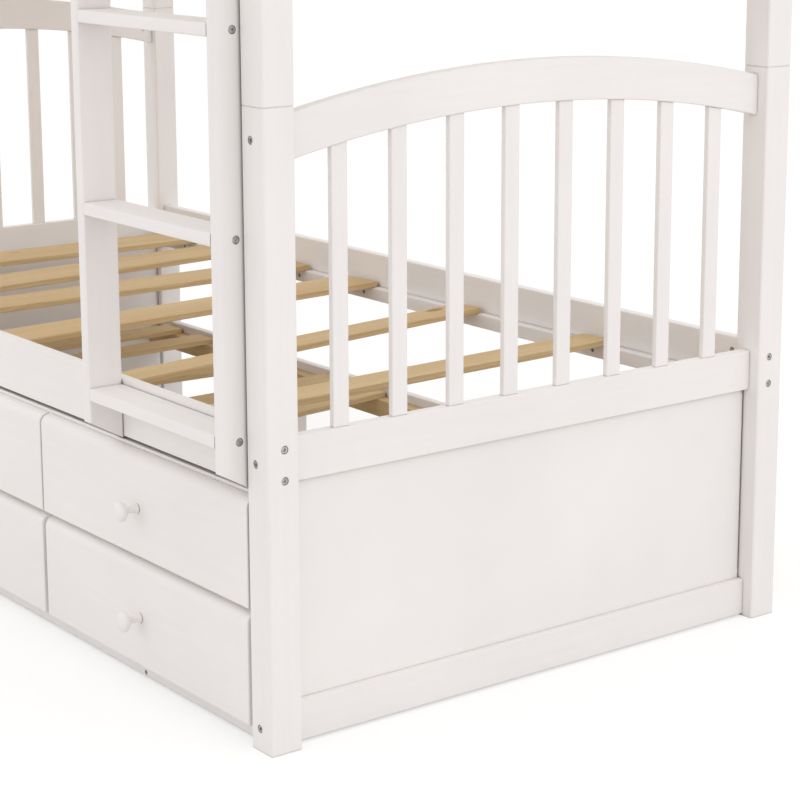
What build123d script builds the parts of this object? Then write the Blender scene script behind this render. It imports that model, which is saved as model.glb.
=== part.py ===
from build123d import *
import os

# Bunk bed with a drawer trundle, in millimetres. X runs along the bed, with the ladder near the +X end.
# Y runs from the front, where the drawers are, to the back, and Z is up. The origin is on the floor,
# under the middle of the whole bed's box, which the ladder's stiles reach out of in front.

# Whole bed
bed_length = 2050.0
bed_width = 1067.0
ladder_reach = 40.0
fit_gap = 0.3

# Posts, in a lower and an upper length
post_size = 55.0
post_edge = 3.5
lower_post_height = 968.0
upper_post_height = 820.0
seam_bevel = 1.2
dowel_diameter = 10.0
dowel_length = 70.0
dowel_clearance = 0.2

# Rails of the end frames and their slats
rail_thickness = 20.0
rail_edge = 2.0
end_setback = 22.0
cross_rail_depth = 69.0
cross_rail_centre = 445.5
arch_rail_depth = 68.0
arch_drop = 13.5
arch_rise = 53.0
arch_edge = 1.2
bottom_rail_lift = 3.5
bottom_rail_depth = 64.5
panel_thickness = 6.0
panel_setback = 12.0
panel_reveal = 2.5
panel_reveal_depth = 3.0
end_slat_count = 8
end_slat_width = 29.0
end_slat_thickness = 10.0
end_slat_setback = 4.0
end_slat_edge = 1.5

# Side rails, their cleats and the deck slats
side_setback = 20.0
side_rail_depth = 95.0
cleat_thickness = 20.0
cleat_depth = 27.0
deck_slat_thickness = 12.0
deck_slat_length = 970.0
deck_slat_edge = 1.5
deck_slat_places = [
    (912.0, 1.2, 70.0), (627.0, 2.7, 70.0), (297.0, 8.1, 66.0), (-104.0, 4.5, 106.0),
    (-384.0, 1.0, 104.0), (-606.0, 5.3, 120.0), (-860.0, -0.6, 120.0),
]
cleat_screw_pitch = 242.0
cleat_screw_count = 8

# Connector bolts with barrel nuts, and the screws
bolt_diameter = 6.0
bolt_head_diameter = 10.5
bolt_head_height = 4.0
bolt_head_sink = 1.0
bolt_socket = 5.0
bolt_socket_depth = 2.2
bolt_reach = 36.0
bolt_clearance = 0.3
head_clearance = 1.0
nut_diameter = 10.0
nut_length = 15.0
nut_inset = 24.0
nut_clearance = 0.2
side_bolt_inset = 24.0
bolt_hole_end = 2.0
screw_diameter = 4.0
screw_head_diameter = 8.0
screw_length = 34.0
screw_clearance = 0.2
screw_slot_length = 4.5
screw_slot_width = 1.2
screw_slot_depth = 1.2

# Ladder
stile_thickness = 22.0
stile_post_gap = 3.0
stile_edge = 2.5
stile_top = 1600.0
stile_foot_front = 428.0
stile_foot_back = 395.0
rung_length = 371.0
rung_thickness = 20.0
first_rung = 465.0
rung_pitch = 300.0
rung_count = 4

# Guard rails of the upper bunk
guard_board_depth = 70.0
guard_lower_board = 1380.0
guard_upper_board = 1530.0
guard_upright_width = 60.0
guard_upright_foot = 20.0
guard_front_uprights = [480.0, -300.0]
guard_back_uprights = [650.0, 0.0, -650.0]
guard_screw_spread = 30.0
guard_screw_inset = 18.0

# Trundle: fronts and knobs
trundle_post_gap = 5.0
front_thickness = 20.0
front_gap = 5.0
upper_front_low = 216.0
upper_front_depth = 171.0
drawer_front_low = 30.0
drawer_front_depth = 176.0
front_top_radius = 16.0
front_edge = 2.5
drawer_front_play = 6.0
column_count = 3
knob_reach = 39.0
knob_head_diameter = 34.0
knob_head_height = 16.0
knob_drop = 5.0
knob_neck_diameter = 14.0
knob_stud_diameter = 6.0
knob_stud_length = 14.0
knob_clearance = 0.2
knob_waist_diameter = 11.0

# Trundle: case, deck and drawers
case_board = 18.0
case_end_setback = 6.0
case_back_gap = 7.0
case_top = 224.0
case_front_rail_top = 393.0
trundle_slat_seat = 205.0
trundle_cleat_depth = 37.0
trundle_cleat_thickness = 28.0
back_rail_depth = 64.0
bottom_rail_gap = 3.0
bottom_rail_top = 64.0
trundle_slat_length = 938.0
trundle_slat_places = [
    (790.0, -2.0, 66.0), (520.0, 2.5, 66.0), (270.0, -3.0, 66.0), (13.0, 7.0, 66.0),
    (-190.0, 1.0, 66.0), (-440.0, -3.0, 66.0), (-700.0, 2.0, 66.0), (-870.0, -1.5, 66.0),
]
trundle_screw_pitch = 242.0
trundle_screw_count = 7
trundle_screw_offset = -42.0
trundle_screw_length = 40.0
trundle_screw_drop = 9.3
skirt_screw_offset = -21.0
skirt_screw_height = 9.0
runner_depth = 12.0
runner_width = 20.0
box_low = 70.0
box_depth = 560.0
box_height = 90.0
box_board = 12.0
box_side_gap = 3.0
box_bottom_thickness = 4.0
box_bottom_lift = 6.0

# Casters
wheel_diameter = 40.0
wheel_width = 16.0
wheel_edge = 2.5
axle_diameter = 5.0
axle_running_gap = 0.08
fork_plate_length = 50.0
fork_cheek = 2.0
fork_cheek_width = 24.0
fork_cheek_gap = 1.0
fork_plate_thickness = 2.5
fork_room = 12.0
fork_cheek_tail = 8.0
rivet_diameter = 8.0
rivet_height = 1.2
caster_end_distance = 45.0

# Places that several pieces share
half_length = bed_length / 2
half_width = bed_width / 2
middle = ladder_reach / 2
front_face = middle - half_width
back_face = middle + half_width
post_inner_x = half_length - post_size
half_span = half_width - post_size
bunk_lift = upper_post_height
end_outer = half_length - end_setback
end_inner = end_outer - rail_thickness
end_bolt_x = end_outer - rail_thickness / 2
side_outer = half_width - side_setback
side_inner = side_outer - rail_thickness
side_bolt_offset = side_outer - rail_thickness / 2
side_rail_low = cross_rail_centre - side_rail_depth / 2
side_rail_top = cross_rail_centre + side_rail_depth / 2
cross_rail_top = cross_rail_centre + cross_rail_depth / 2
cross_rail_low = cross_rail_centre - cross_rail_depth / 2
arch_end_top = lower_post_height - arch_drop
arch_end_low = arch_end_top - arch_rail_depth
deck_seat = side_rail_low + cleat_depth
fore_and_aft = Plane(origin=(0, middle, 0), z_dir=(0, 1, 0))
stile_outer = post_inner_x - stile_post_gap
stile_middles = [stile_outer - stile_thickness / 2, stile_outer - stile_thickness * 1.5 - rung_length]
glue_line = 0.1
nut_hole_depth = nut_length + bolt_hole_end
side_bolt_heights = [side_rail_low + side_bolt_inset, side_rail_top - side_bolt_inset]
arch_bolt_height = arch_end_low + arch_rail_depth / 2
bottom_bolt_height = bottom_rail_lift + bottom_rail_depth / 2
lower_end_bolt_heights = [bottom_bolt_height, cross_rail_centre, arch_bolt_height]
upper_end_bolt_heights = [cross_rail_centre + bunk_lift, arch_bolt_height + bunk_lift]

os.makedirs("parts", exist_ok=True)


def block(x, y, z):
    """Adds a square-edged block that fills the given ranges."""
    x, y, z = sorted(x), sorted(y), sorted(z)
    with Locations((x[0], y[0], z[0])):
        Box(x[1] - x[0], y[1] - y[0], z[1] - z[0], align=(Align.MIN, Align.MIN, Align.MIN))


def drill(planes, diameter, depth):
    """Drills one round hole into the part in hand from the origin of each plane, against its normal."""
    with Locations(*planes):
        Hole(radius=diameter / 2, depth=depth)


def side_bolt_planes(x_side, y_side, lift=0.0):
    """Where the bolts of one side rail's end enter the outer end face of their post."""
    return [
        Plane(
            origin=(x_side * half_length, middle + y_side * side_bolt_offset, z + lift),
            z_dir=(x_side, 0, 0),
        )
        for z in side_bolt_heights
    ]


def end_bolt_planes(x_side, y_side, heights):
    """Where the bolts of one end frame enter the outer front or back face of their post."""
    return [
        Plane(origin=(x_side * end_bolt_x, middle + y_side * half_width, z), z_dir=(0, y_side, 0))
        for z in heights
    ]


def bolt_holes_in_post(planes):
    """Sinks each bolt's head into the post and runs its hole right through."""
    with Locations(*planes):
        CounterBoreHole(
            radius=bolt_diameter / 2 + bolt_clearance,
            counter_bore_radius=bolt_head_diameter / 2 + head_clearance,
            counter_bore_depth=bolt_head_height + bolt_head_sink,
            depth=post_size + 1,
        )


def bolt_holes_in_rail(planes, nut_planes):
    """Bores the end grain of a rail for its bolts, and crosses each bore with a barrel nut's hole."""
    drill(planes, bolt_diameter + 2 * bolt_clearance, bolt_reach + bolt_hole_end)
    drill(nut_planes, nut_diameter + 2 * nut_clearance, nut_hole_depth)


# Posts

def lower_post(x_side, y_side):
    """One lower post: eased edges, bevel at the seam, bolt holes, and the dowel's hole in its top."""
    x = x_side * (half_length - post_size / 2)
    y = middle + y_side * (half_width - post_size / 2)
    with BuildPart() as post:
        with BuildSketch(Plane.XY):
            with Locations((x, y)):
                RectangleRounded(post_size, post_size, post_edge)
        extrude(amount=lower_post_height)
        chamfer(post.faces().sort_by(Axis.Z)[-1].edges(), seam_bevel)
        drill([Plane(origin=(x, y, lower_post_height))], dowel_diameter + 2 * dowel_clearance,
              dowel_length / 2 + dowel_clearance)
        bolt_holes_in_post(side_bolt_planes(x_side, y_side))
        bolt_holes_in_post(end_bolt_planes(x_side, y_side, lower_end_bolt_heights))
    return post


lower_post_front_right = lower_post(1, -1)
lower_post_front_right.part.label = "lower_post_front_right"
export_step(lower_post_front_right.part, "parts/lower_post_front_right.step")

lower_post_front_left = lower_post(-1, -1)
lower_post_front_left.part.label = "lower_post_front_left"
export_step(lower_post_front_left.part, "parts/lower_post_front_left.step")

lower_post_back_right = lower_post(1, 1)
lower_post_back_right.part.label = "lower_post_back_right"
export_step(lower_post_back_right.part, "parts/lower_post_back_right.step")

lower_post_back_left = lower_post(-1, 1)
lower_post_back_left.part.label = "lower_post_back_left"
export_step(lower_post_back_left.part, "parts/lower_post_back_left.step")


def upper_posts(y_side):
    """The two upper posts of the front or the back, standing on the lower ones."""
    y = middle + y_side * (half_width - post_size / 2)
    centres = [(x_side * (half_length - post_size / 2), y) for x_side in (1, -1)]
    with BuildPart() as posts:
        with BuildSketch(Plane.XY.offset(lower_post_height)):
            with Locations(*centres):
                RectangleRounded(post_size, post_size, post_edge)
        extrude(amount=upper_post_height)
        ends = posts.faces().filter_by(Axis.Z)
        chamfer(ends.edges(), seam_bevel)
        dowel_planes = [
            Plane(origin=(x, y, lower_post_height), z_dir=(0, 0, -1)) for x, y in centres
        ]
        drill(dowel_planes, dowel_diameter + 2 * dowel_clearance, dowel_length / 2 + dowel_clearance)
        for x_side in (1, -1):
            bolt_holes_in_post(side_bolt_planes(x_side, y_side, bunk_lift))
            bolt_holes_in_post(end_bolt_planes(x_side, y_side, upper_end_bolt_heights))
    return posts


upper_posts_front = upper_posts(-1)
upper_posts_front.part.label = "upper_posts_front"
export_step(upper_posts_front.part, "parts/upper_posts_front.step")

upper_posts_back = upper_posts(1)
upper_posts_back.part.label = "upper_posts_back"
export_step(upper_posts_back.part, "parts/upper_posts_back.step")

with BuildPart() as post_dowels:
    with Locations(Location((0, middle, lower_post_height))):
        with GridLocations(bed_length - post_size, bed_width - post_size, 2, 2):
            Cylinder(dowel_diameter / 2, dowel_length)
    chamfer(post_dowels.edges().filter_by(GeomType.CIRCLE), 1.0)
post_dowels.part.label = "post_dowels"
export_step(post_dowels.part, "parts/post_dowels.step")


# End frames

def end_face_plane(setback):
    """A sketch plane over the right-hand end: local x along the bed's width, local y upwards."""
    return Plane(origin=(end_outer - setback, middle, 0), x_dir=(0, 1, 0), z_dir=(1, 0, 0))


def end_rail_holes(height):
    """Bores both ends of a rail of the right-hand end frame for its bolts and barrel nuts."""
    ends = [
        Plane(origin=(end_bolt_x, middle + y_side * half_span, height), z_dir=(0, y_side, 0))
        for y_side in (1, -1)
    ]
    nuts = [
        Plane(origin=(end_inner, middle + y_side * (half_span - nut_inset), height), z_dir=(-1, 0, 0))
        for y_side in (1, -1)
    ]
    bolt_holes_in_rail(ends, nuts)


def arch_rail(lift):
    """Arched top rail of the right-hand end frame of one bunk."""
    top = arch_end_top + lift
    low = arch_end_low + lift
    with BuildPart() as rail:
        with BuildSketch(end_face_plane(0)):
            with BuildLine():
                upper = ThreePointArc((-half_span, top), (0, top + arch_rise), (half_span, top))
                under = ThreePointArc((half_span, low), (0, low + arch_rise), (-half_span, low))
                Line(upper @ 1, under @ 0)
                Line(under @ 1, upper @ 0)
            make_face()
        extrude(amount=-rail_thickness)
        chamfer(rail.edges().filter_by(GeomType.CIRCLE), arch_edge)
        end_rail_holes(arch_bolt_height + lift)
    return rail


lower_arch_rail_right = arch_rail(0)
lower_arch_rail_right.part.label = "lower_arch_rail_right"
export_step(lower_arch_rail_right.part, "parts/lower_arch_rail_right.step")

with BuildPart() as lower_arch_rail_left:
    mirror(lower_arch_rail_right.part, about=Plane.YZ)
lower_arch_rail_left.part.label = "lower_arch_rail_left"
export_step(lower_arch_rail_left.part, "parts/lower_arch_rail_left.step")

with BuildPart() as upper_arch_rails:
    add(arch_rail(bunk_lift).part)
    mirror(about=Plane.YZ)
upper_arch_rails.part.label = "upper_arch_rails"
export_step(upper_arch_rails.part, "parts/upper_arch_rails.step")


def straight_end_rail(low, depth, lift=0.0):
    """A straight rail between the right-hand posts, with its four long edges eased."""
    with BuildPart() as rail:
        block(
            (end_inner, end_outer),
            (middle - half_span, middle + half_span),
            (low + lift, low + depth + lift),
        )
        fillet(rail.edges().filter_by(Axis.Y), rail_edge)
        end_rail_holes(low + depth / 2 + lift)
    return rail


lower_cross_rail_right = straight_end_rail(cross_rail_low, cross_rail_depth)
lower_cross_rail_right.part.label = "lower_cross_rail_right"
export_step(lower_cross_rail_right.part, "parts/lower_cross_rail_right.step")

with BuildPart() as lower_cross_rail_left:
    mirror(lower_cross_rail_right.part, about=Plane.YZ)
lower_cross_rail_left.part.label = "lower_cross_rail_left"
export_step(lower_cross_rail_left.part, "parts/lower_cross_rail_left.step")

with BuildPart() as upper_cross_rails:
    add(straight_end_rail(cross_rail_low, cross_rail_depth, bunk_lift).part)
    mirror(about=Plane.YZ)
upper_cross_rails.part.label = "upper_cross_rails"
export_step(upper_cross_rails.part, "parts/upper_cross_rails.step")

with BuildPart() as end_bottom_rails:
    add(straight_end_rail(bottom_rail_lift, bottom_rail_depth).part)
    mirror(about=Plane.YZ)
end_bottom_rails.part.label = "end_bottom_rails"
export_step(end_bottom_rails.part, "parts/end_bottom_rails.step")


def end_slats(lift):
    """The upright slats of both end frames of one bunk, their tops cut to the arch's underside."""
    crown = arch_end_low + arch_rise + lift
    arch_radius = (half_span**2 + arch_rise**2) / (2 * arch_rise)
    foot = cross_rail_top + lift
    slat_gap = (2 * half_span - end_slat_count * end_slat_width) / (end_slat_count + 1)
    with BuildPart() as slats:
        with BuildSketch(end_face_plane(end_slat_setback)):
            with Locations((0, foot)):
                with GridLocations(end_slat_width + slat_gap, 1, end_slat_count, 1):
                    Rectangle(end_slat_width, crown - foot, align=(Align.CENTER, Align.MIN))
            with Locations((0, crown - arch_radius)):
                Circle(arch_radius - fit_gap, mode=Mode.INTERSECT)
        extrude(amount=-end_slat_thickness)
        fillet(slats.edges().filter_by(Axis.Z), end_slat_edge)
        mirror(about=Plane.YZ)
    return slats


lower_end_slats = end_slats(0)
lower_end_slats.part.label = "lower_end_slats"
export_step(lower_end_slats.part, "parts/lower_end_slats.step")

upper_end_slats = end_slats(bunk_lift)
upper_end_slats.part.label = "upper_end_slats"
export_step(upper_end_slats.part, "parts/upper_end_slats.step")

# The panel's face stands a reveal short of the posts and the cross rail, and its thinner tongue runs on
with BuildPart() as end_panel_right:
    panel_face = end_outer - panel_setback
    panel_low = bottom_rail_lift + bottom_rail_depth
    block(
        (panel_face - panel_thickness, panel_face),
        (middle - half_span + panel_reveal, middle + half_span - panel_reveal),
        (panel_low, cross_rail_low - panel_reveal),
    )
    block(
        (panel_face - panel_thickness, panel_face - panel_reveal_depth),
        (middle - half_span, middle + half_span),
        (panel_low, cross_rail_low),
    )
end_panel_right.part.label = "end_panel_right"
export_step(end_panel_right.part, "parts/end_panel_right.step")

with BuildPart() as end_panel_left:
    mirror(end_panel_right.part, about=Plane.YZ)
end_panel_left.part.label = "end_panel_left"
export_step(end_panel_left.part, "parts/end_panel_left.step")


# Side rails, cleats and decks

def cleat_screw_planes(y_side, lift=0.0):
    """Where the screws enter the inner face of one cleat."""
    first = -(cleat_screw_count - 1) / 2 * cleat_screw_pitch
    y = middle + y_side * (side_inner - cleat_thickness)
    z = side_rail_low + cleat_depth / 2 + lift
    return [
        Plane(origin=(first + i * cleat_screw_pitch, y, z), z_dir=(0, -y_side, 0))
        for i in range(cleat_screw_count)
    ]


def side_rail(lift):
    """Front side rail of one bunk, bored for its bolts, barrel nuts and cleat screws."""
    with BuildPart() as rail:
        block(
            (-post_inner_x, post_inner_x),
            (middle - side_outer, middle - side_inner),
            (side_rail_low + lift, side_rail_top + lift),
        )
        fillet(rail.edges().filter_by(Axis.X), rail_edge)
        for x_side in (1, -1):
            ends = [
                Plane(
                    origin=(x_side * post_inner_x, middle - side_bolt_offset, z + lift),
                    z_dir=(x_side, 0, 0),
                )
                for z in side_bolt_heights
            ]
            nuts = [
                Plane(
                    origin=(x_side * (post_inner_x - nut_inset), middle - side_inner, z + lift),
                    z_dir=(0, 1, 0),
                )
                for z in side_bolt_heights
            ]
            bolt_holes_in_rail(ends, nuts)
        drill(
            cleat_screw_planes(-1, lift),
            screw_diameter + 2 * screw_clearance,
            screw_length + screw_clearance,
        )
    return rail


def ladder_rail_bolt_planes(lift):
    """Where the bolts into the ladder's stiles enter the inner face of a front side rail."""
    return [
        Plane(origin=(x, middle - side_inner, cross_rail_centre + lift), z_dir=(0, 1, 0))
        for x in stile_middles
    ]


def sink_ladder_bolts(lift):
    """Sinks the heads of the ladder's bolts into the inner face of a front side rail."""
    with Locations(*ladder_rail_bolt_planes(lift)):
        CounterBoreHole(
            radius=bolt_diameter / 2 + bolt_clearance,
            counter_bore_radius=bolt_head_diameter / 2 + head_clearance,
            counter_bore_depth=bolt_head_height + bolt_head_sink,
            depth=rail_thickness + 1,
        )


def guard_screw_planes(y_side, uprights, heights):
    """Where the screws enter the outer face of the guard rail's uprights, two side by side at each height."""
    return [
        Plane(origin=(x + shift, middle + y_side * half_width, z), z_dir=(0, y_side, 0))
        for x in uprights
        for shift in (-guard_screw_spread / 2, guard_screw_spread / 2)
        for z in heights
    ]


guard_rail_screw_heights = [cross_rail_centre + bunk_lift, side_rail_top + bunk_lift - guard_screw_inset]
guard_board_screw_heights = [
    guard_lower_board + guard_board_depth / 2, guard_upper_board + guard_board_depth / 2,
]

with BuildPart() as lower_side_rail_front:
    add(side_rail(0).part)
    sink_ladder_bolts(0)
lower_side_rail_front.part.label = "lower_side_rail_front"
export_step(lower_side_rail_front.part, "parts/lower_side_rail_front.step")

with BuildPart() as lower_side_rail_back:
    mirror(side_rail(0).part, about=fore_and_aft)
lower_side_rail_back.part.label = "lower_side_rail_back"
export_step(lower_side_rail_back.part, "parts/lower_side_rail_back.step")

with BuildPart() as upper_side_rail_front:
    add(side_rail(bunk_lift).part)
    sink_ladder_bolts(bunk_lift)
    drill(
        guard_screw_planes(-1, guard_front_uprights, guard_rail_screw_heights),
        screw_diameter + 2 * screw_clearance,
        screw_length + screw_clearance,
    )
upper_side_rail_front.part.label = "upper_side_rail_front"
export_step(upper_side_rail_front.part, "parts/upper_side_rail_front.step")

with BuildPart() as upper_side_rail_back:
    mirror(side_rail(bunk_lift).part, about=fore_and_aft)
    drill(
        guard_screw_planes(1, guard_back_uprights, guard_rail_screw_heights),
        screw_diameter + 2 * screw_clearance,
        screw_length + screw_clearance,
    )
upper_side_rail_back.part.label = "upper_side_rail_back"
export_step(upper_side_rail_back.part, "parts/upper_side_rail_back.step")


def screw_holes(planes):
    """Countersinks and clears the screws of a cleat or rail."""
    with Locations(*planes):
        CounterSinkHole(
            radius=screw_diameter / 2 + screw_clearance,
            counter_sink_radius=screw_head_diameter / 2 + screw_clearance,
            depth=screw_length + screw_clearance,
            counter_sink_angle=90,
        )


def deck_cleats(lift):
    """The pair of cleats that carry one bunk's slats."""
    with BuildPart() as cleats:
        block(
            (-post_inner_x, post_inner_x),
            (middle - side_inner, middle - side_inner + cleat_thickness),
            (side_rail_low + lift, deck_seat + lift),
        )
        fillet(cleats.edges().filter_by(Axis.X), rail_edge)
        screw_holes(cleat_screw_planes(-1, lift))
        for x_side in (1, -1):
            nut_x = x_side * (post_inner_x - nut_inset)
            with Locations(
                Plane(origin=(nut_x, middle - side_inner + cleat_thickness, side_bolt_heights[0] + lift),
                      z_dir=(0, 1, 0))
            ):
                Hole(radius=nut_diameter / 2 + nut_clearance, depth=cleat_thickness)
        mirror(about=fore_and_aft)
    return cleats


lower_deck_cleats = deck_cleats(0)
lower_deck_cleats.part.label = "lower_deck_cleats"
export_step(lower_deck_cleats.part, "parts/lower_deck_cleats.step")

upper_deck_cleats = deck_cleats(bunk_lift)
upper_deck_cleats.part.label = "upper_deck_cleats"
export_step(upper_deck_cleats.part, "parts/upper_deck_cleats.step")


def loose_slats(places, y_centre, length, seat):
    """Pine slats lying loose on their cleats; each has its place along the bed, its skew and its width."""
    with BuildPart() as slats:
        for x, skew, width in places:
            with Locations(Location((x, y_centre, seat), (0, 0, skew))):
                Box(width, length, deck_slat_thickness, align=(Align.CENTER, Align.CENTER, Align.MIN))
        long_edges = slats.edges().filter_by(lambda edge: edge.length > length / 2)
        fillet(long_edges, deck_slat_edge)
    return slats


lower_deck_slats = loose_slats(deck_slat_places, middle, deck_slat_length, deck_seat)
lower_deck_slats.part.label = "lower_deck_slats"
export_step(lower_deck_slats.part, "parts/lower_deck_slats.step")

upper_deck_slats = loose_slats(deck_slat_places, middle, deck_slat_length, deck_seat + bunk_lift)
upper_deck_slats.part.label = "upper_deck_slats"
export_step(upper_deck_slats.part, "parts/upper_deck_slats.step")


# Guard rails: two boards inside uprights that are screwed to the upper side rail's outer face

def guard_rail(y_side, uprights, board_end):
    """One guard rail: its boards run from the left-hand post to board_end."""
    boards = (middle + y_side * side_inner, middle + y_side * (side_outer - glue_line))
    outside = (middle + y_side * side_outer, middle + y_side * half_width)
    with BuildPart() as guard:
        for low in (guard_lower_board, guard_upper_board):
            block((-post_inner_x, board_end), boards, (low, low + guard_board_depth))
        fillet(guard.edges().filter_by(Axis.X), rail_edge)
        for x in uprights:
            block(
                (x - guard_upright_width / 2, x + guard_upright_width / 2),
                outside,
                (side_rail_low + guard_upright_foot + bunk_lift, guard_upper_board + guard_board_depth),
            )
        screw_holes(
            guard_screw_planes(y_side, uprights, guard_rail_screw_heights + guard_board_screw_heights)
        )
    return guard


guard_rail_front = guard_rail(-1, guard_front_uprights, guard_front_uprights[0] + guard_upright_width / 2)
guard_rail_front.part.label = "guard_rail_front"
export_step(guard_rail_front.part, "parts/guard_rail_front.step")

guard_rail_back = guard_rail(1, guard_back_uprights, post_inner_x)
guard_rail_back.part.label = "guard_rail_back"
export_step(guard_rail_back.part, "parts/guard_rail_back.step")


# Ladder

stile_front = front_face - ladder_reach
stile_back = front_face + side_setback
rung_middle_y = (stile_front + stile_back) / 2
rung_heights = [first_rung + i * rung_pitch for i in range(rung_count)]


def rung_bolt_planes(x_side):
    """Where the rung bolts enter the outer face of the right-hand (1) or left-hand (-1) stile."""
    x = stile_outer if x_side == 1 else stile_outer - 2 * stile_thickness - rung_length
    return [
        Plane(origin=(x, rung_middle_y, z + rung_thickness / 2), z_dir=(x_side, 0, 0)) for z in rung_heights
    ]


def ladder_stile(x_side):
    """One stile, its foot cut sloping down to the side rail, bored for the rung and rail bolts."""
    outer = stile_outer if x_side == 1 else stile_outer - 2 * stile_thickness - rung_length
    with BuildPart() as stile:
        with BuildSketch(Plane(origin=(outer, 0, 0), x_dir=(0, 1, 0), z_dir=(1, 0, 0))):
            with BuildLine():
                Polyline(
                    (stile_front, stile_foot_front), (stile_back, stile_foot_back),
                    (stile_back, stile_top), (stile_front, stile_top),
                    close=True,
                )
            make_face()
        extrude(amount=-x_side * stile_thickness)
        fillet(stile.edges().filter_by(Axis.Z), stile_edge)
        with Locations(*rung_bolt_planes(x_side)):
            CounterBoreHole(
                radius=bolt_diameter / 2 + bolt_clearance,
                counter_bore_radius=bolt_head_diameter / 2 + head_clearance,
                counter_bore_depth=bolt_head_height + bolt_head_sink,
                depth=stile_thickness + 1,
            )
        x = stile_middles[0] if x_side == 1 else stile_middles[1]
        entries = [
            Plane(origin=(x, stile_back, cross_rail_centre + lift), z_dir=(0, 1, 0))
            for lift in (0, bunk_lift)
        ]
        drill(entries, bolt_diameter + 2 * bolt_clearance, bolt_reach + bolt_hole_end)
    return stile


ladder_stile_right = ladder_stile(1)
ladder_stile_right.part.label = "ladder_stile_right"
export_step(ladder_stile_right.part, "parts/ladder_stile_right.step")

ladder_stile_left = ladder_stile(-1)
ladder_stile_left.part.label = "ladder_stile_left"
export_step(ladder_stile_left.part, "parts/ladder_stile_left.step")

with BuildPart() as ladder_rungs:
    rung_right = stile_outer - stile_thickness
    for height in rung_heights:
        block(
            (rung_right - rung_length, rung_right),
            (stile_front, stile_back),
            (height, height + rung_thickness),
        )
    fillet(ladder_rungs.edges().filter_by(Axis.X), rail_edge)
    for height in rung_heights:
        z = height + rung_thickness / 2
        rung_ends = [
            Plane(origin=(rung_right, rung_middle_y, z), z_dir=(1, 0, 0)),
            Plane(origin=(rung_right - rung_length, rung_middle_y, z), z_dir=(-1, 0, 0)),
        ]
        drill(rung_ends, bolt_diameter + 2 * bolt_clearance, bolt_reach + bolt_hole_end)
ladder_rungs.part.label = "ladder_rungs"
export_step(ladder_rungs.part, "parts/ladder_rungs.step")


# Connector bolts, barrel nuts and screws

def connector_bolts(planes, length):
    """Bolts whose heads lie sunk below the given planes: round head with a hexagon socket, round shank."""
    with BuildPart() as bolt:
        with BuildSketch(Plane.XY.offset(-bolt_head_sink)):
            Circle(bolt_head_diameter / 2)
        extrude(amount=-bolt_head_height)
        with BuildSketch(Plane.XY.offset(-bolt_head_sink - bolt_head_height)):
            Circle(bolt_diameter / 2)
        extrude(amount=-(length - bolt_head_sink - bolt_head_height))
        with BuildSketch(Plane.XY.offset(-bolt_head_sink)):
            RegularPolygon(bolt_socket / 2, 6, major_radius=False)
        extrude(amount=-bolt_socket_depth, mode=Mode.SUBTRACT)
    with BuildPart() as bolts:
        with Locations(*planes):
            add(bolt.part)
    return bolts


frame_bolt_planes = []
for x_side in (1, -1):
    for y_side in (1, -1):
        frame_bolt_planes += side_bolt_planes(x_side, y_side) + side_bolt_planes(x_side, y_side, bunk_lift)
        frame_bolt_planes += end_bolt_planes(x_side, y_side, lower_end_bolt_heights + upper_end_bolt_heights)

frame_bolts = connector_bolts(frame_bolt_planes, post_size + bolt_reach)
frame_bolts.part.label = "frame_bolts"
export_step(frame_bolts.part, "parts/frame_bolts.step")

with BuildPart() as ladder_bolts:
    add(connector_bolts(rung_bolt_planes(1) + rung_bolt_planes(-1), stile_thickness + bolt_reach).part)
    add(
        connector_bolts(
            ladder_rail_bolt_planes(0) + ladder_rail_bolt_planes(bunk_lift), rail_thickness + bolt_reach
        ).part
    )
ladder_bolts.part.label = "ladder_bolts"
export_step(ladder_bolts.part, "parts/ladder_bolts.step")

with BuildPart() as barrel_nuts:
    nut_sink = (nut_hole_depth - nut_length) / 2
    nut_mouths = []
    for x_side in (1, -1):
        for y_side in (1, -1):
            for lift in (0, bunk_lift):
                nut_mouths += [
                    Plane(
                        origin=(x_side * (post_inner_x - nut_inset), middle + y_side * side_inner, z + lift),
                        z_dir=(0, -y_side, 0),
                    )
                    for z in side_bolt_heights
                ]
            nut_mouths += [
                Plane(
                    origin=(x_side * end_inner, middle + y_side * (half_span - nut_inset), z),
                    z_dir=(-x_side, 0, 0),
                )
                for z in lower_end_bolt_heights + upper_end_bolt_heights
            ]
    with Locations(*[plane.offset(-nut_sink) for plane in nut_mouths]):
        Cylinder(nut_diameter / 2, nut_length, align=(Align.CENTER, Align.CENTER, Align.MAX))
    drill(frame_bolt_planes, bolt_diameter + 2 * bolt_clearance, post_size + bolt_reach + bolt_hole_end)
barrel_nuts.part.label = "barrel_nuts"
export_step(barrel_nuts.part, "parts/barrel_nuts.step")


def wood_screws(planes, length):
    """Countersunk screws, their heads flush with the given planes, with a cross slot of two grooves."""
    with BuildPart() as screw:
        with BuildSketch(Plane.XY):
            Circle(screw_head_diameter / 2)
        with BuildSketch(Plane.XY.offset(-(screw_head_diameter - screw_diameter) / 2)):
            Circle(screw_diameter / 2)
        loft()
        with BuildSketch(Plane.XY):
            Circle(screw_diameter / 2)
        extrude(amount=-length)
        with BuildSketch(Plane.XY):
            Rectangle(screw_slot_length, screw_slot_width)
            Rectangle(screw_slot_width, screw_slot_length)
        extrude(amount=-screw_slot_depth, mode=Mode.SUBTRACT)
    with BuildPart() as screws:
        with Locations(*planes):
            add(screw.part)
    return screws


deck_screw_planes = []
for y_side in (1, -1):
    deck_screw_planes += cleat_screw_planes(y_side) + cleat_screw_planes(y_side, bunk_lift)
deck_screws = wood_screws(deck_screw_planes, screw_length)
deck_screws.part.label = "deck_screws"
export_step(deck_screws.part, "parts/deck_screws.step")

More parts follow.
